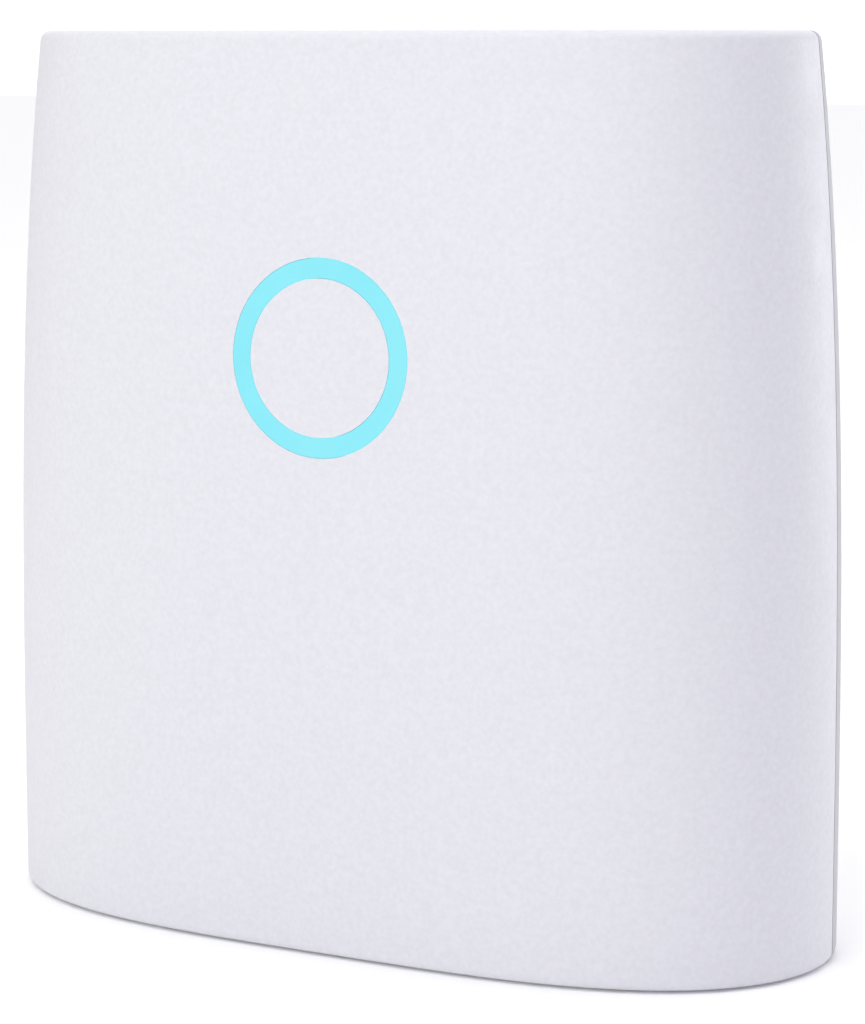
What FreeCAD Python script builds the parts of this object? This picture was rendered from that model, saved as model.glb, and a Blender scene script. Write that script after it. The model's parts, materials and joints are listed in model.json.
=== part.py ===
"""Upright wireless router: a white lens-shaped tower with a glowing ring on its front.

Millimetres, +Z up, front towards -Y, origin on the table under the middle of the footprint.
Every horizontal section is the same rounded lens, which gets narrower and thinner towards the top.
A front shell and a rear shell meet on a tongue joint and stand on a base plate with a rubber foot.
Inside are a plastic frame, an upright main board with its heat sink, four antennas and the ring's
own light board. The sockets and the two buttons sit in a recessed bay at the back.
"""

import FreeCAD
import Part
import math
import os

Vec = FreeCAD.Vector

# ---------------------------------------------------------------- driving dimensions
width = 146.0            # across the widest section
depth = 64.0             # front to back, at the widest section
height = 145.0           # table to top
lens_power = 3.44        # shape of the section: 2 is an ellipse, more is flatter in the middle
width_taper = 0.07       # share of the width lost at the top
depth_taper = 0.12       # share of the depth lost at the top
taper_power = 3.16       # how late the taper starts on the way up
section_splits = (30, 75, 105, 150, 210, 255, 285, 330)  # where a section's edges meet, in degrees
wall = 2.2               # shell wall
shell_lift = 0.3         # gap between the shells and the table
top_round = 1.6          # edge round at the top
bottom_round = 1.5       # edge round at the bottom
sunk = 0.5               # how far a rib or web runs into the piece it grows from

seam_y = 3.0             # plane where the two shells meet
seam_gap = 0.35          # shadow line between the shells
tongue = 2.2             # how far the rear shell's tongue reaches into the front shell
fit_gap = 0.15           # clearance between moulded pieces that nest
snap_x = 30.0            # snap hooks inside the top, either side of the middle
snap_width = 8.0
snap_drop = 3.0          # underside of a hook's arm below the inner top
snap_thick = 1.6
snap_root = 4.0          # length of the arm's root on the rear shell
snap_reach = 5.6         # hook's tip past the tongue
snap_hook = 1.0          # length of the hook
snap_hook_top = 0.3      # hook's top below the inner top
catch_thick = 1.2
catch_high = 1.1
catch_gap = 0.2          # hook to catch

ring_drop = 50.0         # ring centre below the top
ring_outer = 15.4        # radius
ring_inner = 12.4        # radius
ring_gap = 0.12          # clearance round the ring and round its cap
ring_flange = 1.2        # thickness and overlap of the ring's flange behind the wall
ring_clear = 0.05        # flange to the wall, and reflector to the flange and light board
light_channel = 6.0      # depth of the reflector between ring and light board
baffle_wall = 1.4        # thickness of the reflector's two walls
baffle_lip = 0.9         # reflector past the ring's flange
baffle_web = 1.0         # thickness of the webs between its walls
baffle_web_deep = 3.0
baffle_web_turns = (15, 105, 195, 285)  # degrees, clear of the lights
light_board_thick = 1.2
light_board_hole = 8.0   # radius
light_board_rim = 3.5    # screw centre to the board's edge
light_screw_gap = 0.95   # reflector to the screw bosses
light_screw_count = 3
led_count = 12
led_size = 2.0
led_high = 0.8
ribbon_x = -12.0
ribbon_rise = 12.0       # ribbon above the ring's centre
ribbon_width = 6.0
ribbon_thick = 0.25
ribbon_bow = 2.5
connector_lap = 1.0      # connector past each side of the ribbon
connector_wide = 3.0
connector_high = 1.4

bay_width = 74.0         # recess for the sockets, inside
bay_height = 30.0
bay_floor_z = 13.0
bay_depth = 9.0          # from the rearmost surface to the socket panel
bay_corner = 4.0
bay_wall = 1.8
panel_thick = 2.0
panel_ledge = 1.5        # ledge that the panel rests on
cutout_gap = 0.2         # socket to the panel's cutout
collar_gap = 0.1         # power socket's collar to its hole
collar_wall = 0.3

board_side_gap = 21.0    # shell side to board edge
board_foot_gap = 8.0     # table to board
board_top_gap = 16.0     # board to top
board_thick = 1.6
board_corner = 3.0
board_rail = 6.0         # frame bars in from the board's lower and upper edges
board_screw_inset = 4.0  # screws in from the board's sides
standoff = 3.0           # frame to board
frame_thick = 2.2
frame_rim = 8.0
frame_bar = 9.0
frame_gap = 0.5          # frame to shell
frame_foot_gap = 0.6     # frame to base plate
frame_top_gap = 3.6      # frame to the inner top, clear of the snap hooks

jack_width = 16.2        # network socket
jack_height = 14.0
jack_length = 15.8
jack_proud = 0.2         # socket mouth past the panel
jack_sheet = 0.3         # thickness of its metal shield
plug_width = 11.8        # the opening that takes the plug
plug_height = 7.0
plug_depth = 12.5
plug_top = 4.6           # top of the opening above the socket's middle
mouth_side = 1.2         # metal left beside the mouth
mouth_brow = 0.8         # metal left above and below it
insert_gap = 0.05        # plastic insert to metal shield
latch_width = 6.4
latch_step = 1.5
link_x = 5.4             # link lights either side of the socket's middle
link_wide = 2.4
link_high = 1.6
link_long = 6.0
link_drop = 1.9          # light's middle below the plug opening
link_gap = 0.05
contact_count = 8
contact_pitch = 1.02
contact_size = 0.35
contact_slope = 1.6      # how far a contact drops towards the back
contact_set_back = 2.0   # contact's front end behind the mouth
contact_gap = 0.1        # contact to the opening's roof
wan_x = 11.0
lan_x = -8.5

power_x = 28.5
power_width = 9.6
power_height = 11.0
power_bore = 3.1         # radius
power_bore_depth = 10.5
power_pin = 1.0          # radius
power_gap = 0.1          # power socket to the panel
power_pin_set_back = 1.0

button_x = -26.5
button_rise = 5.5        # pairing button above the bay's middle, and reset below it
button_radius = 3.4
button_gap = 0.2
button_edge = 0.5        # round of its rim
button_proud = 0.6
button_flange = 0.9
button_flange_lap = 1.0
button_slack = 0.05      # flange to panel
button_travel = 0.6
stem_high = 1.2          # switch stem above its switch
switch_size = 6.0
switch_height = 3.4
stem_radius = 1.7
stem_gap = 0.1
stem_sunk = 0.9
reset_hole = 1.0         # radius
reset_travel = 0.3
reset_set_back = 0.8

base_thick = 3.0
head_room = 0.1          # sunk screw heads to the foot
foot_sink = 0.6          # foot let into the base plate
foot_inset = 5.0         # foot's outer edge in from the shell
foot_band = 8.0
vent_width = 1.8
rear_vent_count = 17
rear_vent_pitch = 4.4
rear_vent_height = 24.0
rear_vent_drop = 24.0    # top of the vents below the top
rear_vent_start = 12.0   # vents are cut from this far behind the seam
base_vent_count = 5
base_vent_pitch = 5.0
base_vent_length = 22.0
base_vent_x = 40.0       # middle of each group
label_width = 44.0
label_depth = 16.0
label_thick = 0.15
label_sink = 0.3         # recess for the label
label_gap = 0.5

screw_shaft = 1.25       # radius of the case and frame screws
screw_head = 2.3
screw_head_high = 1.1
screw_length = 7.0
small_shaft = 0.95       # radius of the board and light board screws
small_head = 1.9
small_head_high = 1.0
small_length = 3.6
pilot_gap = 0.06         # screw to pilot hole
pass_gap = 0.25          # screw to clearance hole
boss_wall = 2.1
boss_height = 8.0
rib_thick = 1.8
case_screw_inset = 31.0  # case screws in from the sides
frame_screw_rise = 34.0  # lower frame screws above the table
frame_screw_drop = 30.0  # upper frame screws below the top

heat_sink_height = 44.0
heat_sink_base = 3.0
heat_sink_z = 60.0       # middle
fin_count = 11
fin_thick = 1.4
fin_length = 10.0
sink_gap = 2.0           # heat sink to the radio shields
sink_pin = 1.45          # radius of its push pins
sink_pin_hole = 1.6
sink_pin_head = 3.0
sink_pin_head_high = 1.5
sink_pin_tail = 1.5      # pin past the back of the board
sink_pin_inset = 4.0
sink_pin_room = 3.6      # radius cleared from the fins round a pin

chip_size = 17.0         # main processor
chip_high = 1.4
pad_thick = 0.6
memory_x = 18.0
memory_wide = 9.0
memory_high = 13.3
memory_thick = 1.1
flash_drop = 16.0        # below the heat sink's middle
flash_wide = 12.0
flash_high = 8.0
flash_thick = 1.0
wifi_size = 8.0
wifi_thick = 0.9
radio_inset = 11.0       # radio shields' middle in from the board's sides
radio_rise = 26.0        # and above the heat sink's middle
can_wide = 18.0
can_high = 28.0
can_deep = 2.5
can_sheet = 0.25
rear_can_rise = 36.0
rear_can_wide = 46.0
parts_rise = 10.0        # row of tall parts above the socket bay
transformer_wide = 15.1
transformer_high = 10.0
transformer_deep = 5.7
capacitor_radius = 3.15
capacitor_length = 7.7
capacitor_round = 0.5
capacitor_count = 3
capacitor_pitch = 8.0
capacitor_shift = 2.0    # first capacitor, from the power socket towards the middle
inductor_x = -27.0
inductor_size = 6.6
inductor_deep = 3.0
inductor_round = 1.2
inductor_pitch = 8.0
inductor_count = 2

antenna_thick = 0.6
antenna_long = 38.0
antenna_top_long = 32.0
antenna_wide = 5.6
antenna_shift = 1.4      # side antennas in from the middle of the frame's rim
antenna_rise = 4.0       # side antennas above mid height
antenna_top_shift = 4.0  # top antennas, outwards from half way to the board's side
antenna_slot = 1.2
slot_margin = 12.0       # antenna's length less its slot's
slot_shift = 4.0
coax_radius = 0.57
coax_plug_radius = 1.4
coax_plug_high = 1.2
coax_gap = 0.05          # cable to antenna
coax_inset = 1.0         # cable's end in from the antenna's edge

# ---------------------------------------------------------------- places worked out from them
ring_z = height - ring_drop
bay_z = bay_floor_z + bay_height / 2
panel_y = depth / 2 - bay_depth                      # outer face of the socket panel
panel_back_y = panel_y - panel_thick
jack_mouth_y = panel_y + jack_proud
board_rear_y = jack_mouth_y - jack_length
board_front_y = board_rear_y - board_thick
frame_rear_y = board_front_y - standoff
frame_front_y = frame_rear_y - frame_thick
board_half = width / 2 - board_side_gap
board_top = height - board_top_gap
base_top = shell_lift + base_thick
foot_top = shell_lift + foot_sink
top_inside = height - wall
lower_bar_z = board_foot_gap + board_rail
upper_bar_z = board_top - board_rail
standoff_x = board_half - board_screw_inset
side_screw_z = (frame_screw_rise, height - frame_screw_drop)
case_screw_x = width / 2 - case_screw_inset
case_screw_seat = foot_top + head_room + screw_head_high
tongue_inset = wall * 0.55
snap_tip_y = seam_y - tongue - snap_reach
light_screw_radius = ring_outer + ring_flange + baffle_lip + small_shaft + boss_wall + light_screw_gap
light_board_radius = light_screw_radius + light_board_rim
ribbon_z = ring_z + ribbon_rise
radio_x = board_half - radio_inset
radio_z = heat_sink_z + radio_rise
heat_sink_width = 2 * (radio_x - can_wide / 2 - sink_gap)
parts_row_z = bay_floor_z + bay_height + bay_wall + parts_rise
side_antenna_x = width / 2 - wall - frame_gap - frame_rim / 2 - antenna_shift
side_antenna_z = height / 2 + antenna_rise
top_antenna_x = board_half / 2 + antenna_top_shift
socket_front_y = jack_mouth_y - jack_sheet            # front of the plastic inside a network socket
back = depth                                          # safely behind and in front of everything


# ---------------------------------------------------------------- shapes
def box(x0, x1, y0, y1, z0, z1):
    return Part.makeBox(x1 - x0, y1 - y0, z1 - z0, Vec(x0, y0, z0))


def block(x, z, wide, high, y0, y1):
    """A block centred on x and z, from y0 to y1."""
    return box(x - wide / 2, x + wide / 2, y0, y1, z - high / 2, z + high / 2)


def rod_y(x, z, radius, y0, y1):
    return Part.makeCylinder(radius, y1 - y0, Vec(x, y0, z), Vec(0, 1, 0))


def rod_z(x, y, radius, z0, z1):
    return Part.makeCylinder(radius, z1 - z0, Vec(x, y, z0), Vec(0, 0, 1))


def ring_y(x, z, outer, inner, y0, y1):
    return rod_y(x, z, outer, y0, y1).cut(rod_y(x, z, inner, y0, y1))


def join(first, *others):
    return first.multiFuse(list(others))


def half_sizes(z, inset):
    """Half width and half depth of the section at height z, this far inside the surface."""
    share = max(z, 0.0) / height
    late = share**taper_power
    half_width = width / 2 * (1 - width_taper * late)
    half_depth = depth / 2 * (1 - depth_taper * late)
    return half_width - inset, half_depth - inset


def section(z, inset, points=60):
    """The lens outline at height z, this far inside the surface, cut into edges at the split turns."""
    half_width, half_depth = half_sizes(z, inset)
    first = section_splits[0]
    outline = []
    for i in range(points):
        turn = math.radians(first + 360 * i / points)
        across = math.cos(turn)
        along = math.sqrt(max(0.0, 1 - abs(across) ** lens_power))
        outline.append(Vec(half_width * across, math.copysign(half_depth * along, math.sin(turn)), z))
    curve = Part.BSplineCurve()
    curve.interpolate(Points=outline, PeriodicFlag=True, Parameters=[i / points for i in range(points + 1)])
    edges = []
    for start, end in zip(section_splits, section_splits[1:] + (first + 360,)):
        piece = curve.copy()
        piece.segment((start - first) / 360, (end - first) / 360)
        edges.append(piece.toShape())
    return Part.Wire(edges)


def body(inset=0.0, z0=None, z1=None):
    """The solid lens tower, this far inside the surface, between two heights."""
    low = shell_lift if z0 is None else z0
    high = height - inset if z1 is None else z1
    steps = (0.0, 0.22, 0.42, 0.58, 0.72, 0.84, 0.93, 1.0)
    wires = [section(low + (high - low) * step, inset) for step in steps]
    return Part.makeLoft(wires, True, False)


def slab(inset, z0, z1):
    """A flat plate with the section's outline at the bottom of the tower."""
    return Part.Face(section(z0, inset)).extrude(Vec(0, 0, z1 - z0))


def front_y(x, z, inset=0.0):
    """Where the front surface is at x and z."""
    half_width, half_depth = half_sizes(z, inset)
    return -half_depth * math.sqrt(1 - (abs(x) / half_width) ** lens_power)


def edge_round(end, inward, radius, steps=5):
    """The rounded rim at one end of the tower; inward is 1 going up from the bottom, -1 down from the top."""
    wires = []
    for i in range(steps + 1):
        turn = math.pi / 2 * i / steps
        wires.append(section(end + inward * radius * (1 - math.cos(turn)), radius * (1 - math.sin(turn))))
    return Part.makeLoft(wires, True, False)


def tower():
    """The outer form with its rounded top and bottom edges."""
    middle = body(z0=shell_lift + bottom_round, z1=height - top_round)
    return join(middle, edge_round(shell_lift, 1, bottom_round), edge_round(height, -1, top_round))


def rounded_prism(x0, x1, z0, z1, radius, y0, y1):
    """A block along Y with its four long edges rounded."""
    blank = box(x0, x1, y0, y1, z0, z1)
    long_edges = [e for e in blank.Edges if abs(e.tangentAt(e.FirstParameter).y) > 0.99]
    return blank.makeFillet(radius, long_edges)


def bay_prism(grow, y0, y1):
    """The bay's outline, this much larger all round, from y0 to y1."""
    half = bay_width / 2 + grow
    return rounded_prism(-half, half, bay_floor_z - grow, bay_floor_z + bay_height + grow,
                         bay_corner + grow, y0, y1)


def screw(point, direction, shaft, head, head_high, length):
    """A pan-head screw: point is under the head, direction the way the shaft goes."""
    way = Vec(*direction)
    shank = Part.makeCylinder(shaft, length, point, way)
    top = Part.makeCylinder(head, head_high, point - way * head_high, way)
    socket = Part.makeCylinder(head * 0.45, head_high * 0.55, point - way * head_high, way)
    return join(shank, top).cut(socket)


def boss_z(x, y, reach_y, z0, z1):
    """A screw boss standing along Z with a rib to the wall at reach_y, bored for its screw."""
    radius = screw_shaft + boss_wall
    post = rod_z(x, y, radius, z0, z1)
    rib = box(x - rib_thick / 2, x + rib_thick / 2, min(y, reach_y), max(y, reach_y), z0, z1)
    return post.fuse(rib), rod_z(x, y, screw_shaft + pilot_gap, z0 - 1, z1 - 1)


# ---------------------------------------------------------------- casing
def wall_shell():
    return tower().cut(body(wall, z0=-1.0))


def snap_block(x, y0, y1, low, high):
    """A block across one snap hook, from low to high under the inner top."""
    return box(x - snap_width / 2, x + snap_width / 2, y0, y1, top_inside - low, top_inside - high)


def snap_catches():
    y0 = snap_tip_y + snap_hook + catch_gap
    return [snap_block(x, y0, y0 + catch_thick, catch_high, -sunk) for x in (-snap_x, snap_x)]


def snap_hooks():
    hooks = []
    for x in (-snap_x, snap_x):
        root_y = seam_y + seam_gap + snap_root
        arm = snap_block(x, snap_tip_y, root_y, snap_drop, snap_drop - snap_thick)
        root = snap_block(x, seam_y + seam_gap, root_y, snap_drop, -sunk)
        hook = snap_block(x, snap_tip_y, snap_tip_y + snap_hook, snap_drop, snap_hook_top)
        hooks.append(join(arm, root, hook))
    return hooks


def frame_bosses():
    """Posts that the frame's screws go into, and their pilot holes."""
    posts = [rod_y(x, z, screw_shaft + boss_wall, -back, frame_front_y) for x, z in frame_screw_places()]
    pilots = [rod_y(x, z, screw_shaft + pilot_gap, frame_front_y - screw_length, frame_front_y)
              for x, z in frame_screw_places()]
    return posts, pilots


def light_bosses():
    """Posts that carry the light board, and their pilot holes."""
    y1 = light_board_y()
    posts = [rod_y(x, z, small_shaft + boss_wall, -back, y1) for x, z in light_screw_places()]
    pilots = [rod_y(x, z, small_shaft + pilot_gap, y1 - small_length, y1) for x, z in light_screw_places()]
    return posts, pilots


def case_bosses(side, top):
    """Posts for the screws from below, on one side (-1 front, 1 rear), and their pilot holes."""
    made = [boss_z(x, side * case_screw_y(), side * depth / 2, base_top, top)
            for x in (-case_screw_x, case_screw_x)]
    return [post for post, pilot in made], [pilot for post, pilot in made]


def front_shell():
    shell = wall_shell().common(box(-width, width, -back, seam_y, -1, height + 1))
    groove = body(tongue_inset - fit_gap, z0=shell_lift + bottom_round - fit_gap)
    groove = groove.common(box(-width, width, seam_y - tongue - fit_gap, seam_y + 1, -1, height))
    posts = snap_catches()
    holes = [rod_y(0, ring_z, ring_outer + ring_gap, -back, 0)]
    for some_posts, pilots in (frame_bosses(), light_bosses(), case_bosses(-1, base_top + boss_height)):
        posts += some_posts
        holes += pilots
    inside = body(wall / 2, z0=shell_lift)
    posts = [post.common(inside) for post in posts]
    return join(shell.cut(groove), *posts).cut(Part.makeCompound(holes))


def rear_vents():
    top = height - rear_vent_drop
    vents = []
    for i in range(rear_vent_count):
        x = (i - (rear_vent_count - 1) / 2) * rear_vent_pitch
        vents.append(rounded_prism(x - vent_width / 2, x + vent_width / 2, top - rear_vent_height, top,
                                   vent_width / 2 - 0.01, seam_y + rear_vent_start, back))
    return vents


def rear_shell():
    cavity = body(wall, z0=-1.0)
    shell = tower().cut(cavity).common(box(-width, width, seam_y + seam_gap, back, -1, height + 1))
    lip = body(tongue_inset, z0=shell_lift + bottom_round).cut(cavity)
    lip = lip.common(box(-width, width, seam_y - tongue, seam_y + 2, -1, height))
    tunnel = bay_prism(bay_wall, panel_back_y - panel_ledge, back)
    posts, pilots = case_bosses(1, bay_floor_z - bay_wall - sunk)
    inside = body(wall / 2, z0=shell_lift)
    added = [piece.common(inside) for piece in [tunnel] + posts + snap_hooks()]
    holes = [bay_prism(0.0, panel_back_y, back),
             bay_prism(-panel_ledge, panel_back_y - 2 * panel_ledge, panel_back_y + 1)]
    shell = join(shell, lip, *added).cut(Part.makeCompound(holes + pilots))
    return shell.cut(Part.makeCompound(rear_vents()))


def case_screw_y():
    """Under the middle of the foot."""
    return -front_y(case_screw_x, 0, foot_inset + foot_band / 2)


def case_screw_places():
    return [(x, y) for x in (-case_screw_x, case_screw_x) for y in (-case_screw_y(), case_screw_y())]


def base_plate():
    plate = slab(wall + fit_gap, shell_lift, base_top)
    groove = slab(foot_inset, shell_lift - 1, foot_top)
    cuts = [groove.cut(slab(foot_inset + foot_band, shell_lift - 1, foot_top))]
    for x, y in case_screw_places():
        cuts.append(rod_z(x, y, screw_shaft + pass_gap, 0, base_top + 1))
        cuts.append(rod_z(x, y, screw_head + pass_gap, 0, case_screw_seat))
    for side in (-1, 1):
        for i in range(base_vent_count):
            x = side * base_vent_x + (i - (base_vent_count - 1) / 2) * base_vent_pitch
            cuts.append(box(x - vent_width / 2, x + vent_width / 2, -base_vent_length / 2,
                            base_vent_length / 2, 0, base_top + 1))
    half_x, half_y = label_width / 2 + label_gap, label_depth / 2 + label_gap
    cuts.append(box(-half_x, half_x, -half_y, half_y, 0, shell_lift + label_sink))
    return plate.cut(Part.makeCompound(cuts))


def rubber_foot():
    inner = slab(foot_inset + foot_band - fit_gap, 0, foot_top)
    return slab(foot_inset + fit_gap, 0, foot_top).cut(inner)


def rating_label():
    top = shell_lift + label_sink
    return box(-label_width / 2, label_width / 2, -label_depth / 2, label_depth / 2, top - label_thick, top)


def case_screws():
    return Part.makeCompound([
        screw(Vec(x, y, case_screw_seat), (0, 0, 1), screw_shaft, screw_head, screw_head_high, screw_length)
        for x, y in case_screw_places()])


# ---------------------------------------------------------------- light ring
def light_board_y():
    """Front face of the light board."""
    return front_y(0, ring_z) + wall + ring_flange + light_channel


def light_screw_places():
    turns = [math.radians(90) + 2 * math.pi * i / light_screw_count for i in range(light_screw_count)]
    return [(light_screw_radius * math.cos(t), ring_z + light_screw_radius * math.sin(t)) for t in turns]


def skin(inset0, inset1):
    """The layer of the tower between two depths under its surface, near the ring."""
    reach = light_board_radius
    near = box(-reach, reach, -back, 0, ring_z - reach, ring_z + reach)
    return body(inset0).common(near).cut(body(inset1))


def light_ring():
    lens = ring_y(0, ring_z, ring_outer, ring_inner, -back, 0).common(skin(0.0, wall + ring_flange))
    flange = ring_y(0, ring_z, ring_outer + ring_flange, ring_inner - ring_flange, -back, 0)
    return join(lens, flange.common(skin(wall + ring_clear, wall + ring_flange)))


def ring_center_cap():
    return rod_y(0, ring_z, ring_inner - ring_gap, -back, 0).common(skin(0.0, wall))


def light_baffle():
    """Two nested walls, joined by webs, that keep the light behind the ring."""
    outer_edge, inner_edge = ring_outer + ring_flange + baffle_lip, ring_inner - ring_flange - baffle_lip
    y0, y1 = -back, light_board_y() - ring_clear
    outer = ring_y(0, ring_z, outer_edge, outer_edge - baffle_wall, y0, y1)
    inner = ring_y(0, ring_z, inner_edge + baffle_wall, inner_edge, y0, y1)
    webs = [web_at(turn, inner_edge + sunk, outer_edge - sunk, y1 - baffle_web_deep, y1)
            for turn in baffle_web_turns]
    room = body(wall + ring_flange + ring_clear).common(box(-width, width, -back, 0, 0, height))
    return join(outer, inner, *webs).common(room)


def web_at(turn, r0, r1, y0, y1):
    web = box(r0, r1, y0, y1, -baffle_web / 2, baffle_web / 2)
    web.rotate(Vec(0, 0, 0), Vec(0, 1, 0), turn)
    web.translate(Vec(0, 0, ring_z))
    return web


def led_board():
    y0 = light_board_y()
    board = ring_y(0, ring_z, light_board_radius, light_board_hole, y0, y0 + light_board_thick)
    holes = [rod_y(x, z, small_shaft + pass_gap, y0 - 1, y0 + 2) for x, z in light_screw_places()]
    return board.cut(Part.makeCompound(holes))


def ring_leds():
    y1 = light_board_y()
    radius = (ring_outer + ring_inner) / 2
    chips = []
    for i in range(led_count):
        angle = 2 * math.pi * i / led_count
        x, z = radius * math.cos(angle), ring_z + radius * math.sin(angle)
        chips.append(block(x, z, led_size, led_size, y1 - led_high, y1))
    return Part.makeCompound(chips)


def led_board_screws():
    seat = light_board_y() + light_board_thick
    return Part.makeCompound([
        screw(Vec(x, seat, z), (0, -1, 0), small_shaft, small_head, small_head_high, small_length)
        for x, z in light_screw_places()])


def led_ribbon():
    """A flat cable that bows gently between its two connectors."""
    y0 = light_board_y() + light_board_thick + connector_high
    y1 = board_front_y - connector_high
    middle = (y0 + y1) / 2
    edges = [Part.Arc(Vec(ribbon_x, y0, ribbon_z + t), Vec(ribbon_x, middle, ribbon_z + ribbon_bow + t),
                      Vec(ribbon_x, y1, ribbon_z + t)).toShape() for t in (0.0, ribbon_thick)]
    ends = [Part.makeLine(edges[0].Vertexes[k].Point, edges[1].Vertexes[k].Point) for k in (0, 1)]
    profile = Part.Face(Part.Wire(Part.__sortEdges__(edges + ends)))
    strip = profile.extrude(Vec(ribbon_width, 0, 0))
    strip.translate(Vec(-ribbon_width / 2, 0, 0))
    return strip


def ribbon_connectors():
    wide, z = ribbon_width + 2 * connector_lap, ribbon_z + ribbon_thick / 2
    y0, y1 = light_board_y() + light_board_thick, board_front_y
    return Part.makeCompound([
        block(ribbon_x, z, wide, connector_wide, y0, y0 + connector_high),
        block(ribbon_x, z, wide, connector_wide, y1 - connector_high, y1)])


# ---------------------------------------------------------------- frame and main board
def inner_frame():
    level = box(-width, width, frame_front_y, frame_rear_y, base_top + frame_foot_gap, height)
    top_room = top_inside - frame_top_gap
    outline = body(wall + frame_gap, z0=0.0, z1=top_room).common(level)
    window = body(wall + frame_gap + frame_rim, z0=-1.0, z1=top_room - frame_rim).common(level)
    frame = outline.cut(window)
    bars = [block(0, z, width, frame_bar, frame_front_y, frame_rear_y)
            for z in (lower_bar_z, upper_bar_z)]
    posts = [rod_y(x, z, small_shaft + boss_wall, frame_rear_y - sunk, board_front_y)
             for x, z in board_screw_places()]
    reach = body(wall + frame_gap + frame_rim / 2, z0=0.0)
    frame = join(frame, *[bar.common(reach) for bar in bars], *posts)
    holes = [rod_y(x, z, small_shaft + pilot_gap, frame_front_y - 1, board_front_y + 1)
             for x, z in board_screw_places()]
    holes += [rod_y(x, z, screw_shaft + pass_gap, frame_front_y - 1, frame_rear_y + 1)
              for x, z in frame_screw_places()]
    return frame.cut(Part.makeCompound(holes))


def board_screw_places():
    return [(x, z) for x in (-standoff_x, standoff_x) for z in (lower_bar_z, upper_bar_z)]


def frame_screw_places():
    """On the middle of the frame's rim."""
    return [(side * half_sizes(z, wall + frame_gap + frame_rim / 2)[0], z)
            for side in (-1, 1) for z in side_screw_z]


def frame_screws():
    return Part.makeCompound([
        screw(Vec(x, frame_rear_y, z), (0, -1, 0), screw_shaft, screw_head, screw_head_high, screw_length)
        for x, z in frame_screw_places()])


def board_screws():
    return Part.makeCompound([
        screw(Vec(x, board_rear_y, z), (0, -1, 0), small_shaft, small_head, small_head_high, small_length)
        for x, z in board_screw_places()])


def heat_sink_pin_places():
    off_x, off_z = heat_sink_width / 2 - sink_pin_inset, heat_sink_height / 2 - sink_pin_inset
    return [(-off_x, heat_sink_z - off_z), (off_x, heat_sink_z + off_z)]


def main_board():
    board = rounded_prism(-board_half, board_half, board_foot_gap, board_top, board_corner,
                          board_front_y, board_rear_y)
    holes = [rod_y(x, z, small_shaft + pass_gap, board_front_y - 1, board_rear_y + 1)
             for x, z in board_screw_places()]
    holes += [rod_y(x, z, sink_pin_hole, board_front_y - 1, board_rear_y + 1)
              for x, z in heat_sink_pin_places()]
    return board.cut(Part.makeCompound(holes))


def on_front(x, z, wide, high, thick):
    return block(x, z, wide, high, board_front_y - thick, board_front_y)


def on_rear(x, z, wide, high, thick):
    return block(x, z, wide, high, board_rear_y, board_rear_y + thick)


def soc_chip():
    return on_front(0, heat_sink_z, chip_size, chip_size, chip_high)


def thermal_pad():
    y1 = board_front_y - chip_high
    return block(0, heat_sink_z, chip_size, chip_size, y1 - pad_thick, y1)


def heat_sink():
    y1 = board_front_y - chip_high - pad_thick
    y0 = y1 - heat_sink_base
    plate = block(0, heat_sink_z, heat_sink_width, heat_sink_height, y0, y1)
    fins = []
    for i in range(fin_count):
        x = (i / (fin_count - 1) - 0.5) * (heat_sink_width - fin_thick)
        fins.append(block(x, heat_sink_z, fin_thick, heat_sink_height, y0 - fin_length, y0 + sunk))
    sink = join(plate, *fins)
    room = [rod_y(x, z, sink_pin_room, y0 - fin_length - 1, y0) for x, z in heat_sink_pin_places()]
    holes = [rod_y(x, z, sink_pin_hole, y0 - 1, y1 + 1) for x, z in heat_sink_pin_places()]
    return sink.cut(Part.makeCompound(room)).cut(Part.makeCompound(holes))


def heat_sink_pins():
    y0 = board_front_y - chip_high - pad_thick - heat_sink_base
    return Part.makeCompound([
        join(rod_y(x, z, sink_pin, y0 - sunk, board_rear_y + sink_pin_tail),
             rod_y(x, z, sink_pin_head, y0 - sink_pin_head_high, y0))
        for x, z in heat_sink_pin_places()])


def memory_chips():
    return Part.makeCompound([on_front(x, heat_sink_z, memory_wide, memory_high, memory_thick)
                              for x in (-memory_x, memory_x)])


def flash_chip():
    return on_front(0, heat_sink_z - flash_drop, flash_wide, flash_high, flash_thick)


def folded_lid(place, x, z, wide, high):
    """A folded metal lid, open towards the board; place is on_front or on_rear."""
    room = place(x, z, wide - 2 * can_sheet, high - 2 * can_sheet, can_deep - can_sheet)
    return place(x, z, wide, high, can_deep).cut(room)


def shield_can(side):
    return folded_lid(on_front, side * radio_x, radio_z, can_wide, can_high)


def rear_shield_can():
    return folded_lid(on_rear, 0, heat_sink_z + rear_can_rise, rear_can_wide, can_high)


def wifi_chips():
    return Part.makeCompound([on_front(side * radio_x, radio_z, wifi_size, wifi_size, wifi_thick)
                              for side in (-1, 1)])


def ethernet_transformers():
    return Part.makeCompound([on_rear(x, parts_row_z, transformer_wide, transformer_high, transformer_deep)
                              for x in (wan_x, lan_x)])


def capacitors():
    """Cans with a rounded top, in two columns."""
    cans = []
    y1 = board_rear_y + capacitor_length
    for k in range(capacitor_count):
        x = power_x - capacitor_shift + capacitor_pitch * (k % 2)
        can = rod_y(x, parts_row_z + capacitor_pitch * (k // 2), capacitor_radius, board_rear_y, y1)
        top = [e for e in can.Edges if e.BoundBox.YMin > y1 - 0.1]
        cans.append(can.makeFillet(capacitor_round, top))
    return Part.makeCompound(cans)


def inductors():
    half = inductor_size / 2
    places = [parts_row_z + inductor_pitch * k for k in range(inductor_count)]
    return Part.makeCompound([
        rounded_prism(inductor_x - half, inductor_x + half, z - half, z + half, inductor_round,
                      board_rear_y, board_rear_y + inductor_deep) for z in places])


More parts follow.
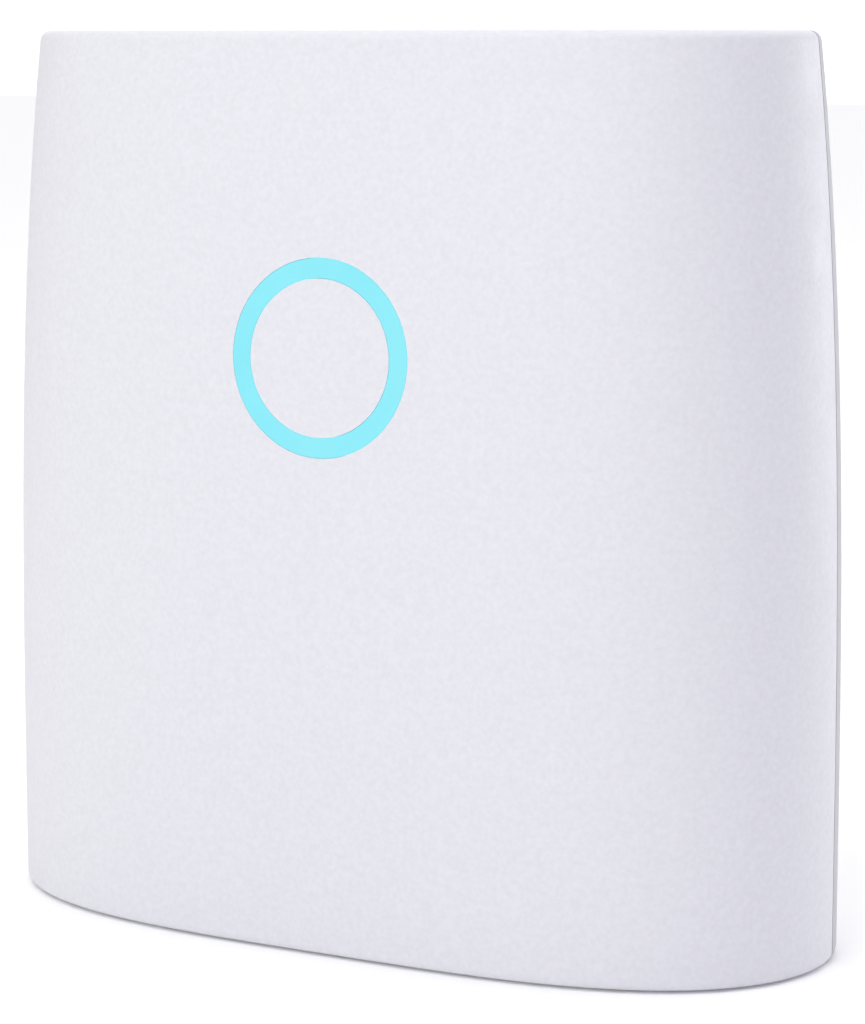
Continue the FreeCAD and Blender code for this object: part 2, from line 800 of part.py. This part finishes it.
# ---------------------------------------------------------------- antennas
def antenna(x, z, wide, high):
    """A stamped radiator with the slot that tunes it, on the front of the frame."""
    y0, y1 = frame_front_y - antenna_thick, frame_front_y
    plate = block(x, z, wide, high, y0, y1)
    if high > wide:
        return plate.cut(block(x, z + slot_shift, antenna_slot, high - slot_margin, y0 - 1, y1 + 1))
    return plate.cut(block(x + slot_shift, z, wide - slot_margin, antenna_slot, y0 - 1, y1 + 1))


def coax(points):
    """A thin round cable along straight runs joined by tangent arcs."""
    edges = []
    start = points[0]
    for i in range(1, len(points) - 1):
        corner = points[i]
        back_run, next_run = points[i - 1] - corner, points[i + 1] - corner
        turn = math.pi - back_run.getAngle(next_run)
        reach = 0.45 * min(back_run.Length, next_run.Length)
        radius = reach / math.tan(turn / 2)
        way_in, way_out = back_run.normalize(), next_run.normalize()
        a, b = corner + way_in * reach, corner + way_out * reach
        bisector = (way_in + way_out).normalize()
        middle = corner + bisector * (math.hypot(reach, radius) - radius)
        edges.append(Part.makeLine(start, a))
        edges.append(Part.Arc(a, middle, b).toShape())
        start = b
    edges.append(Part.makeLine(start, points[-1]))
    path = Part.Wire(edges)
    ring = Part.Wire(Part.makeCircle(coax_radius, points[0], points[1] - points[0]))
    return path.makePipeShell([ring], True, False)


def side_plug(side):
    return Vec(side * (board_half - 4.0), board_front_y, radio_z - 22.0)


def top_plug(side):
    return Vec(side * (radio_x - 4.0), board_front_y, radio_z + 20.0)


def side_coax(side):
    y = frame_front_y - antenna_thick - coax_radius - coax_gap
    plug = side_plug(side)
    z = side_antenna_z - antenna_long / 2 + 3.0
    edge = side_antenna_x + antenna_wide / 2 - coax_inset
    mid = (z + plug.z) / 2
    return coax([Vec(side * edge, y, z), Vec(side * (edge - 9), y, z - 0.2),
                 Vec(side * (abs(plug.x) + 3), y - 0.4, mid),
                 Vec(plug.x, y, plug.z), Vec(plug.x, plug.y - coax_plug_high, plug.z)])


def top_coax(side):
    y = frame_front_y - antenna_thick - coax_radius - coax_gap
    plug = top_plug(side)
    z = upper_bar_z + antenna_wide / 2 - coax_inset
    x = side * (top_antenna_x + 5.0)
    low = upper_bar_z - frame_bar / 2 - 3.0
    return coax([Vec(x, y, z), Vec(x + side * 0.3, y, z - 9.0),
                 Vec(side * (abs(plug.x) + 1.5), y - 0.3, (low + plug.z) / 2), Vec(plug.x, y, plug.z),
                 Vec(plug.x, plug.y - coax_plug_high, plug.z)])


def coax_plugs():
    return Part.makeCompound([
        rod_y(p.x, p.z, coax_plug_radius, p.y - coax_plug_high, p.y)
        for side in (-1, 1) for p in (side_plug(side), top_plug(side))])


# ---------------------------------------------------------------- sockets and buttons
def port_panel():
    panel = bay_prism(-fit_gap, panel_back_y, panel_y)
    wide, high = jack_width + 2 * cutout_gap, jack_height + 2 * cutout_gap
    cuts = [block(x, bay_z, wide, high, panel_back_y - 1, panel_y + 1) for x in (wan_x, lan_x)]
    collar = power_bore + collar_wall
    cuts.append(rod_y(power_x, bay_z, collar + collar_gap, panel_back_y - 1, panel_y + 1))
    clear = button_radius + button_gap
    cuts.append(rod_y(button_x, bay_z + button_rise, clear, panel_back_y - 1, panel_y + 1))
    cuts.append(rod_y(button_x, bay_z - button_rise, reset_hole, panel_back_y - 1, panel_y + 1))
    return panel.cut(Part.makeCompound(cuts))


def jack_shield(x):
    """The folded metal box round a network socket, open behind and at its mouth."""
    shield = block(x, bay_z, jack_width, jack_height, board_rear_y, jack_mouth_y)
    inside = block(x, bay_z, jack_width - 2 * jack_sheet, jack_height - 2 * jack_sheet,
                   board_rear_y - 1, socket_front_y)
    mouth = block(x, bay_z, jack_width - 2 * mouth_side, jack_height - 2 * mouth_brow,
                  jack_mouth_y - 1, jack_mouth_y + 1)
    return shield.cut(inside).cut(mouth)


def jack_insert(x):
    """The socket's plastic, with its opening stepped for the plug, the latch and the latch's tail."""
    trim = 2 * (jack_sheet + insert_gap)
    insert = block(x, bay_z, jack_width - trim, jack_height - trim, board_rear_y, socket_front_y)
    top = bay_z + plug_top
    y0, y1 = socket_front_y - plug_depth, socket_front_y + 1
    sizes = ((plug_width, 0.0), (latch_width, latch_step), (latch_width / 2, 2 * latch_step))
    steps = [box(x - wide / 2, x + wide / 2, y0, y1, top - plug_height - drop, top) for wide, drop in sizes]
    lights = [link_light(x, side, link_gap, 1.0) for side in (-1, 1)]
    return insert.cut(join(*steps)).cut(Part.makeCompound(lights))


def link_light(x, side, grow=0.0, past=0.0):
    """The light guide in a lower corner of a socket, this much larger all round and this far past it."""
    z = bay_z + plug_top - plug_height - link_drop
    return block(x + side * link_x, z, link_wide + 2 * grow, link_high + 2 * grow,
                 socket_front_y - link_long, socket_front_y + past)


def jack_link_lights():
    return Part.makeCompound([link_light(x, side) for x in (wan_x, lan_x) for side in (-1, 1)])


def jack_contacts():
    """Sprung wires that slope down from the roof of each opening to its back wall."""
    wires = []
    back_y, front_end = socket_front_y - plug_depth, socket_front_y - contact_set_back
    top = bay_z + plug_top - contact_gap
    low = top - contact_slope
    for x in (wan_x, lan_x):
        for i in range(contact_count):
            cx = x + (i - (contact_count - 1) / 2) * contact_pitch - contact_size / 2
            corners = [Vec(cx, front_end, top), Vec(cx, back_y, low),
                       Vec(cx, back_y, low - contact_size), Vec(cx, front_end, top - contact_size)]
            wires.append(Part.Face(Part.makePolygon(corners + corners[:1])).extrude(Vec(contact_size, 0, 0)))
    return Part.makeCompound(wires)


def power_jack_housing():
    y1 = panel_back_y - power_gap
    housing = block(power_x, bay_z, power_width, power_height, board_rear_y, y1)
    collar = rod_y(power_x, bay_z, power_bore + collar_wall, y1 - sunk, panel_y)
    bore = rod_y(power_x, bay_z, power_bore, panel_y - power_bore_depth, panel_y + 1)
    return join(housing, collar).cut(bore)


def power_jack_pin():
    y0 = panel_y - power_bore_depth
    pin = rod_y(power_x, bay_z, power_pin, y0, panel_y - power_pin_set_back)
    tip = [e for e in pin.Edges if e.BoundBox.YMin > y0 + 1]
    return pin.makeFillet(power_pin * 0.5, tip)


def pairing_button():
    z = bay_z + button_rise
    flange_front = panel_back_y - button_slack
    flange_back = flange_front - button_flange
    cap = rod_y(button_x, z, button_radius, flange_front - sunk, panel_y + button_proud)
    rim = [e for e in cap.Edges if e.BoundBox.YMin > panel_y]
    cap = cap.makeFillet(button_edge, rim)
    flange = rod_y(button_x, z, button_radius + button_flange_lap, flange_back, flange_front)
    rod = rod_y(button_x, z, stem_radius, stem_top_y(), flange_back + sunk)
    return join(cap, flange, rod)


def stem_top_y():
    """Where the pairing button meets its switch."""
    return board_rear_y + switch_height + stem_high


def switch_body(z, travel):
    y1 = board_rear_y + switch_height
    bore_depth = stem_sunk + travel + stem_gap
    blank = block(button_x, z, switch_size, switch_size, board_rear_y, y1)
    return blank.cut(rod_y(button_x, z, stem_radius + stem_gap, y1 - bore_depth, y1 + 1))


def pairing_switch():
    return switch_body(bay_z + button_rise, button_travel)


def pairing_switch_stem():
    y1 = board_rear_y + switch_height
    return rod_y(button_x, bay_z + button_rise, stem_radius, y1 - stem_sunk, stem_top_y())


def reset_switch():
    return switch_body(bay_z - button_rise, reset_travel)


def reset_switch_stem():
    y1 = board_rear_y + switch_height
    return rod_y(button_x, bay_z - button_rise, stem_radius, y1 - stem_sunk, panel_back_y - reset_set_back)


# ---------------------------------------------------------------- write every piece
PIECES = {
    "front_shell": front_shell,
    "rear_shell": rear_shell,
    "base_plate": base_plate,
    "rubber_foot": rubber_foot,
    "rating_label": rating_label,
    "case_screws": case_screws,
    "light_ring": light_ring,
    "ring_center_cap": ring_center_cap,
    "light_baffle": light_baffle,
    "led_board": led_board,
    "ring_leds": ring_leds,
    "led_board_screws": led_board_screws,
    "led_ribbon": led_ribbon,
    "ribbon_connectors": ribbon_connectors,
    "inner_frame": inner_frame,
    "frame_screws": frame_screws,
    "main_board": main_board,
    "board_screws": board_screws,
    "soc_chip": soc_chip,
    "thermal_pad": thermal_pad,
    "heat_sink": heat_sink,
    "heat_sink_pins": heat_sink_pins,
    "memory_chips": memory_chips,
    "flash_chip": flash_chip,
    "wifi_chips": wifi_chips,
    "shield_can_left": lambda: shield_can(-1),
    "shield_can_right": lambda: shield_can(1),
    "rear_shield_can": rear_shield_can,
    "ethernet_transformers": ethernet_transformers,
    "capacitors": capacitors,
    "inductors": inductors,
    "antenna_left": lambda: antenna(-side_antenna_x, side_antenna_z, antenna_wide, antenna_long),
    "antenna_right": lambda: antenna(side_antenna_x, side_antenna_z, antenna_wide, antenna_long),
    "antenna_top_left": lambda: antenna(-top_antenna_x, upper_bar_z, antenna_top_long, antenna_wide),
    "antenna_top_right": lambda: antenna(top_antenna_x, upper_bar_z, antenna_top_long, antenna_wide),
    "antenna_cable_left": lambda: side_coax(-1),
    "antenna_cable_right": lambda: side_coax(1),
    "antenna_cable_top_left": lambda: top_coax(-1),
    "antenna_cable_top_right": lambda: top_coax(1),
    "coax_plugs": coax_plugs,
    "port_panel": port_panel,
    "wan_jack_shield": lambda: jack_shield(wan_x),
    "wan_jack_insert": lambda: jack_insert(wan_x),
    "lan_jack_shield": lambda: jack_shield(lan_x),
    "lan_jack_insert": lambda: jack_insert(lan_x),
    "jack_contacts": jack_contacts,
    "jack_link_lights": jack_link_lights,
    "power_jack_housing": power_jack_housing,
    "power_jack_pin": power_jack_pin,
    "pairing_button": pairing_button,
    "pairing_switch": pairing_switch,
    "pairing_switch_stem": pairing_switch_stem,
    "reset_switch": reset_switch,
    "reset_switch_stem": reset_switch_stem,
}


def main():
    os.makedirs("parts", exist_ok=True)
    for name, make in PIECES.items():
        shape = make()
        good = shape.isValid() and all(s.isClosed() for s in shape.Shells)
        print(f"{name}: {len(shape.Solids)} solids, {shape.Volume:.1f} mm3, {'ok' if good else 'BAD'}")
        shape.exportStep(f"parts/{name}.step")


main()
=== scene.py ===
"""The looks of the upright wireless router: materials on the CAD pieces, a white studio and the camera.

Everything is in metres in the CAD model's frame: +Z up, the ring faces -Y, the sockets face +Y.
"""

import bpy
import json
import math
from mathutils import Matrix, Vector


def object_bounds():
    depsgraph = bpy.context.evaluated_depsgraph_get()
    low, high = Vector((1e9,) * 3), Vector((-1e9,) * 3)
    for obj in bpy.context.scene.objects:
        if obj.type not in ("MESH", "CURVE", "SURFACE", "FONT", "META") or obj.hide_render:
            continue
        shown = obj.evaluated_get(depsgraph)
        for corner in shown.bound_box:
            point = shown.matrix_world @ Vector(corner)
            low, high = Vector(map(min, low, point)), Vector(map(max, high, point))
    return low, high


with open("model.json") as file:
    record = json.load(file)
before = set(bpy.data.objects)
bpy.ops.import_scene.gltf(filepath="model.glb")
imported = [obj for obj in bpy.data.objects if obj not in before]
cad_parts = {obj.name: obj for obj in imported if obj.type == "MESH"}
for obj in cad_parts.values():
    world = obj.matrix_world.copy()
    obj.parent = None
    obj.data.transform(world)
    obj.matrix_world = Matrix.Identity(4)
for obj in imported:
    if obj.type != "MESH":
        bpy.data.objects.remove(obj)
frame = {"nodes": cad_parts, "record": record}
cad_low, cad_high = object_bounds()
MM = 0.001
WHITE = (0.750, 0.747, 0.782)


# ---------------------------------------------------------------- materials
def new_material(name, color, roughness, metallic=0.0):
    """A principled material with the numbers that are the same all over set on its own sockets."""
    mat = bpy.data.materials.new(name)
    mat.use_nodes = True
    shader = mat.node_tree.nodes["Principled BSDF"]
    shader.inputs["Base Color"].default_value = (*color, 1.0)
    shader.inputs["Roughness"].default_value = roughness
    shader.inputs["Metallic"].default_value = metallic
    return mat, mat.node_tree, shader


def noise(tree, scale, detail=3.0, stretch=(1, 1, 1)):
    """Noise in object space; scale is in features per metre."""
    place = tree.nodes.new("ShaderNodeTexCoord")
    mapping = tree.nodes.new("ShaderNodeMapping")
    mapping.inputs["Scale"].default_value = stretch
    texture = tree.nodes.new("ShaderNodeTexNoise")
    texture.inputs["Scale"].default_value = scale
    texture.inputs["Detail"].default_value = detail
    tree.links.new(place.outputs["Object"], mapping.inputs["Vector"])
    tree.links.new(mapping.outputs["Vector"], texture.inputs["Vector"])
    return texture.outputs["Fac"]


def vary_color(tree, shader, source, color, amount):
    """The colour drifts by this share either way."""
    ramp = tree.nodes.new("ShaderNodeValToRGB")
    ramp.color_ramp.elements[0].position = 0.3
    ramp.color_ramp.elements[1].position = 0.7
    ramp.color_ramp.elements[0].color = (*[c * (1 - amount) for c in color], 1)
    ramp.color_ramp.elements[1].color = (*[min(1.0, c * (1 + amount)) for c in color], 1)
    tree.links.new(source, ramp.inputs["Fac"])
    tree.links.new(ramp.outputs["Color"], shader.inputs["Base Color"])


def vary_roughness(tree, shader, source, low, high):
    """The roughness wanders between low and high."""
    span = tree.nodes.new("ShaderNodeMapRange")
    span.inputs["From Min"].default_value = 0.3
    span.inputs["From Max"].default_value = 0.7
    span.inputs["To Min"].default_value = low
    span.inputs["To Max"].default_value = high
    tree.links.new(source, span.inputs["Value"])
    tree.links.new(span.outputs["Result"], shader.inputs["Roughness"])


def add_bump(tree, shader, source, height):
    """Relief of this height in metres, in the shading only."""
    bump = tree.nodes.new("ShaderNodeBump")
    bump.inputs["Distance"].default_value = height
    tree.links.new(source, bump.inputs["Height"])
    tree.links.new(bump.outputs["Normal"], shader.inputs["Normal"])


def moulded_plastic(name, color, roughness=0.55, grain=1700, grain_height=0.03 * MM, drift=0.012):
    """Plastic with the fine spark-eroded grain of its mould."""
    mat, tree, shader = new_material(name, color, roughness)
    vary_color(tree, shader, noise(tree, 60), color, drift)
    vary_roughness(tree, shader, noise(tree, 240), roughness - 0.06, roughness + 0.06)
    add_bump(tree, shader, noise(tree, grain, 2.0), grain_height)
    return mat


def stippled_shell(name):
    """The white outer plastic, whose coarser grain shows as a faint mottle."""
    roughness = 0.52
    mat, tree, shader = new_material(name, WHITE, roughness)
    grain = noise(tree, 1150, 3.0)
    vary_color(tree, shader, grain, WHITE, 0.03)
    vary_roughness(tree, shader, noise(tree, 240), roughness - 0.06, roughness + 0.06)
    add_bump(tree, shader, grain, 0.07 * MM)
    return mat


def brushed_metal(name, color, roughness, stretch=(1, 1, 18), lines=900):
    """Metal with rolling or machining lines along one direction."""
    mat, tree, shader = new_material(name, color, roughness, metallic=1.0)
    grain = noise(tree, lines, 4.0, stretch)
    vary_color(tree, shader, noise(tree, 90), color, 0.05)
    vary_roughness(tree, shader, grain, roughness - 0.08, roughness + 0.1)
    add_bump(tree, shader, grain, 0.01 * MM)
    return mat


def rubber(name, color):
    """Dull rubber or soft cable jacket."""
    mat, tree, shader = new_material(name, color, 0.8)
    vary_color(tree, shader, noise(tree, 120), color, 0.08)
    vary_roughness(tree, shader, noise(tree, 500), 0.72, 0.9)
    add_bump(tree, shader, noise(tree, 2200, 2.0), 0.04 * MM)
    return mat


def solder_mask(name):
    """Green board lacquer, with faint copper runs showing through as darker and lighter bands."""
    color = (0.015, 0.12, 0.05)
    mat, tree, shader = new_material(name, color, 0.3)
    runs = noise(tree, 350, 1.0, (1, 1, 6))
    vary_color(tree, shader, runs, color, 0.35)
    vary_roughness(tree, shader, noise(tree, 700), 0.24, 0.4)
    add_bump(tree, shader, runs, 0.02 * MM)
    return mat


def glowing_ring(name):
    """The lit light guide: milky cyan, with a glow that is a little uneven round the ring."""
    red, green, blue = 0.217, 0.710, 0.795
    dim = (red * 0.92, green * 0.98, blue * 0.99, 1)
    bright = (red * 1.05, green * 1.01, blue, 1)
    milk = (0.06, 0.20, 0.23)
    mat, tree, shader = new_material(name, milk, 0.35)
    ramp = tree.nodes.new("ShaderNodeValToRGB")
    ramp.color_ramp.elements[0].position = 0.35
    ramp.color_ramp.elements[1].position = 0.65
    ramp.color_ramp.elements[0].color = dim
    ramp.color_ramp.elements[1].color = bright
    tree.links.new(noise(tree, 55, 1.0), ramp.inputs["Fac"])
    tree.links.new(ramp.outputs["Color"], shader.inputs["Emission Color"])
    shader.inputs["Emission Strength"].default_value = 0.86
    vary_color(tree, shader, noise(tree, 200), milk, 0.04)
    add_bump(tree, shader, noise(tree, 900), 0.01 * MM)
    return mat


LOOKS = {
    "white_shell": stippled_shell,
    # The rear cover's darker grey is partly its own plastic colour and partly painted shade for its back
    # edge, which faces away from the light.
    "rear_shell": lambda n: moulded_plastic(n, (0.50, 0.50, 0.525)),
    "base_grey": lambda n: moulded_plastic(n, (0.45, 0.45, 0.48)),
    "foot_rubber": lambda n: rubber(n, (0.10, 0.10, 0.11)),
    "label_film": lambda n: moulded_plastic(
        n, (0.62, 0.63, 0.65), roughness=0.35, grain=500, grain_height=0.006 * MM),
    "zinc_screw": lambda n: brushed_metal(
        n, (0.52, 0.52, 0.50), roughness=0.35, stretch=(1, 1, 1), lines=1500),
    "ring_glow": glowing_ring,
    "white_reflector": lambda n: moulded_plastic(n, (0.82, 0.82, 0.82)),
    "board_green": solder_mask,
    "led_lens": lambda n: moulded_plastic(n, (0.75, 0.85, 0.80), roughness=0.2, grain=600),
    "ribbon_white": lambda n: moulded_plastic(n, (0.72, 0.72, 0.74), roughness=0.45, grain=700),
    "connector_cream": lambda n: moulded_plastic(n, (0.68, 0.63, 0.50)),
    "frame_grey": lambda n: moulded_plastic(n, (0.09, 0.09, 0.10)),
    "chip_black": lambda n: moulded_plastic(
        n, (0.018, 0.018, 0.02), roughness=0.6, grain=1400, grain_height=0.02 * MM, drift=0.1),
    "ferrite_grey": lambda n: moulded_plastic(
        n, (0.05, 0.05, 0.055), roughness=0.65, grain=900, grain_height=0.05 * MM, drift=0.15),
    "pad_blue": lambda n: rubber(n, (0.14, 0.26, 0.42)),
    "sink_aluminium": lambda n: brushed_metal(n, (0.70, 0.70, 0.72), roughness=0.38),
    "pin_black": lambda n: moulded_plastic(
        n, (0.025, 0.025, 0.028), roughness=0.5, grain=900, grain_height=0.02 * MM, drift=0.08),
    "tin_shield": lambda n: brushed_metal(n, (0.62, 0.62, 0.61), roughness=0.30),
    "can_aluminium": lambda n: brushed_metal(n, (0.68, 0.68, 0.70), roughness=0.28),
    "antenna_brass": lambda n: brushed_metal(n, (0.72, 0.66, 0.45), roughness=0.30),
    "cable_grey": lambda n: rubber(n, (0.10, 0.10, 0.11)),
    "plug_brass": lambda n: brushed_metal(
        n, (0.75, 0.58, 0.25), roughness=0.25, stretch=(1, 1, 1), lines=1800),
    "panel_grey": lambda n: moulded_plastic(n, (0.46, 0.46, 0.49)),
    "jack_black": lambda n: moulded_plastic(
        n, (0.022, 0.022, 0.024), roughness=0.45, grain=900, grain_height=0.02 * MM, drift=0.1),
    "contact_gold": lambda n: brushed_metal(
        n, (0.78, 0.57, 0.20), roughness=0.22, stretch=(1, 18, 1), lines=1800),
    "link_light": lambda n: moulded_plastic(
        n, (0.45, 0.55, 0.16), roughness=0.25, grain=700, grain_height=0.01 * MM),
    "pin_nickel": lambda n: brushed_metal(
        n, (0.70, 0.68, 0.62), roughness=0.18, stretch=(1, 18, 1), lines=1500),
    "button_grey": lambda n: moulded_plastic(n, (0.30, 0.30, 0.32), roughness=0.5),
    "stem_white": lambda n: moulded_plastic(n, (0.62, 0.62, 0.60), roughness=0.45),
}


def dress_nodes():
    """Each CAD piece gets its slot's look, with smooth curves and crisp edges."""
    made = {name: look(name + "_look") for name, look in LOOKS.items()}
    for part in frame["record"]["subparts"]:
        piece = frame["nodes"][part["node"]]
        for slot in piece.material_slots:
            slot.material = made[part["material_slot"]]
        smooth(piece)


def smooth(piece, crease=28.0):
    """Shades curved walls smoothly and keeps edges sharper than the crease angle."""
    for face in piece.data.polygons:
        face.use_smooth = True
    weld = piece.modifiers.new("weld", "WELD")
    weld.merge_threshold = 0.002 * MM
    split = piece.modifiers.new("creases", "EDGE_SPLIT")
    split.split_angle = math.radians(crease)
    split.use_edge_sharp = False
    piece.modifiers.new("normals", "WEIGHTED_NORMAL").keep_sharp = True


# ---------------------------------------------------------------- studio
def make_floor():
    """A white light table, whose faint glow keeps the shadow under the tower short."""
    half = 6.0
    mesh = bpy.data.meshes.new("floor")
    corners = [(-half, -half, 0), (half, -half, 0), (half, half, 0), (-half, half, 0)]
    mesh.from_pydata(corners, [], [(0, 1, 2, 3)])
    floor = bpy.data.objects.new("floor", mesh)
    bpy.context.scene.collection.objects.link(floor)
    paper = (0.96, 0.96, 0.965)
    mat, tree, shader = new_material("floor_paper", paper, 0.9)
    shader.inputs["Specular IOR Level"].default_value = 0.1
    shader.inputs["Emission Color"].default_value = (1.0, 1.0, 1.0, 1.0)
    shader.inputs["Emission Strength"].default_value = 0.07
    vary_color(tree, shader, noise(tree, 3), paper, 0.004)
    mesh.materials.append(mat)


def dim_patch(tree, place, azimuth, start, color):
    """White, falling to the colour towards this azimuth, which counts from -Y towards +X.

    The fall begins where the cosine of the angle to the azimuth is start, and is full at the end.
    """
    turn = math.radians(azimuth)
    end = 0.86
    dot = tree.nodes.new("ShaderNodeVectorMath")
    dot.operation = "DOT_PRODUCT"
    dot.inputs[1].default_value = (math.sin(turn), -math.cos(turn), 0.0)
    ramp = tree.nodes.new("ShaderNodeValToRGB")
    ramp.color_ramp.interpolation = "EASE"
    ramp.color_ramp.elements[0].position = start
    ramp.color_ramp.elements[0].color = (1.0, 1.0, 1.0, 1)
    ramp.color_ramp.elements[1].position = end
    ramp.color_ramp.elements[1].color = (*color, 1)
    tree.links.new(place, dot.inputs[0])
    tree.links.new(dot.outputs["Value"], ramp.inputs["Fac"])
    return ramp.outputs["Color"]


def make_world():
    """A white room with a dark blue patch towards the front right and a dim grey one on the left."""
    world = bpy.data.worlds.new("studio")
    bpy.context.scene.world = world
    world.use_nodes = True
    tree = world.node_tree
    place = tree.nodes.new("ShaderNodeTexCoord").outputs["Generated"]
    both = tree.nodes.new("ShaderNodeVectorMath")
    both.operation = "MULTIPLY"
    front_right = dim_patch(tree, place, azimuth=64, start=0.40, color=(0.01, 0.0, 0.12))
    left = dim_patch(tree, place, azimuth=-80, start=0.35, color=(0.25, 0.25, 0.25))
    tree.links.new(front_right, both.inputs[0])
    tree.links.new(left, both.inputs[1])
    back = tree.nodes["Background"]
    tree.links.new(both.outputs["Vector"], back.inputs["Color"])
    back.inputs["Strength"].default_value = 1.2


def area_light(name, place, aim, size, power):
    """A round white lamp at this place, facing the aim; size is its diameter, power in watts."""
    lamp = bpy.data.lights.new(name, "AREA")
    lamp.shape = "DISK"
    lamp.size = size
    lamp.energy = power
    obj = bpy.data.objects.new(name, lamp)
    obj.location = place
    obj.rotation_euler = (Vector(aim) - Vector(place)).to_track_quat("-Z", "Y").to_euler()
    bpy.context.scene.collection.objects.link(obj)


def make_lights():
    """Broad soft lamps overhead and in front, a low one behind on the right, a small one for the top."""
    area_light("overhead", place=(0.0, -0.3, 1.6), aim=(0, 0, 0.05), size=1.4, power=5.0)
    area_light("front", place=(0.15, -1.6, 0.5), aim=(0, 0, 0.07), size=0.8, power=3.0)
    area_light("rear_right", place=(0.92, 1.31, 0.12), aim=(0, 0, 0.05), size=0.5, power=4.5)
    area_light("top_front", place=(-0.12, -0.28, 0.42), aim=(0, 0, 0.13), size=0.22, power=0.15)


def make_camera():
    """Front right of the tower, level with its top and tilted down a little, as in the photograph."""
    height = cad_high.z
    azimuth = math.radians(28.44)
    tilt = math.radians(90 - 8.594)
    yaw = math.radians(0.329)
    distance = 3.5146 * height
    eye_level = 0.9931 * height
    lens = bpy.data.cameras.new("camera")
    lens.sensor_width = 36.0
    lens.lens = 110.55
    camera = bpy.data.objects.new("camera", lens)
    camera.location = (distance * math.sin(azimuth), -distance * math.cos(azimuth), eye_level)
    camera.rotation_euler = (tilt, 0, azimuth - yaw)
    bpy.context.scene.collection.objects.link(camera)
    bpy.context.scene.camera = camera


make_camera()
make_floor()
make_world()
make_lights()
dress_nodes()
bpy.context.scene.view_settings.view_transform = "Standard"
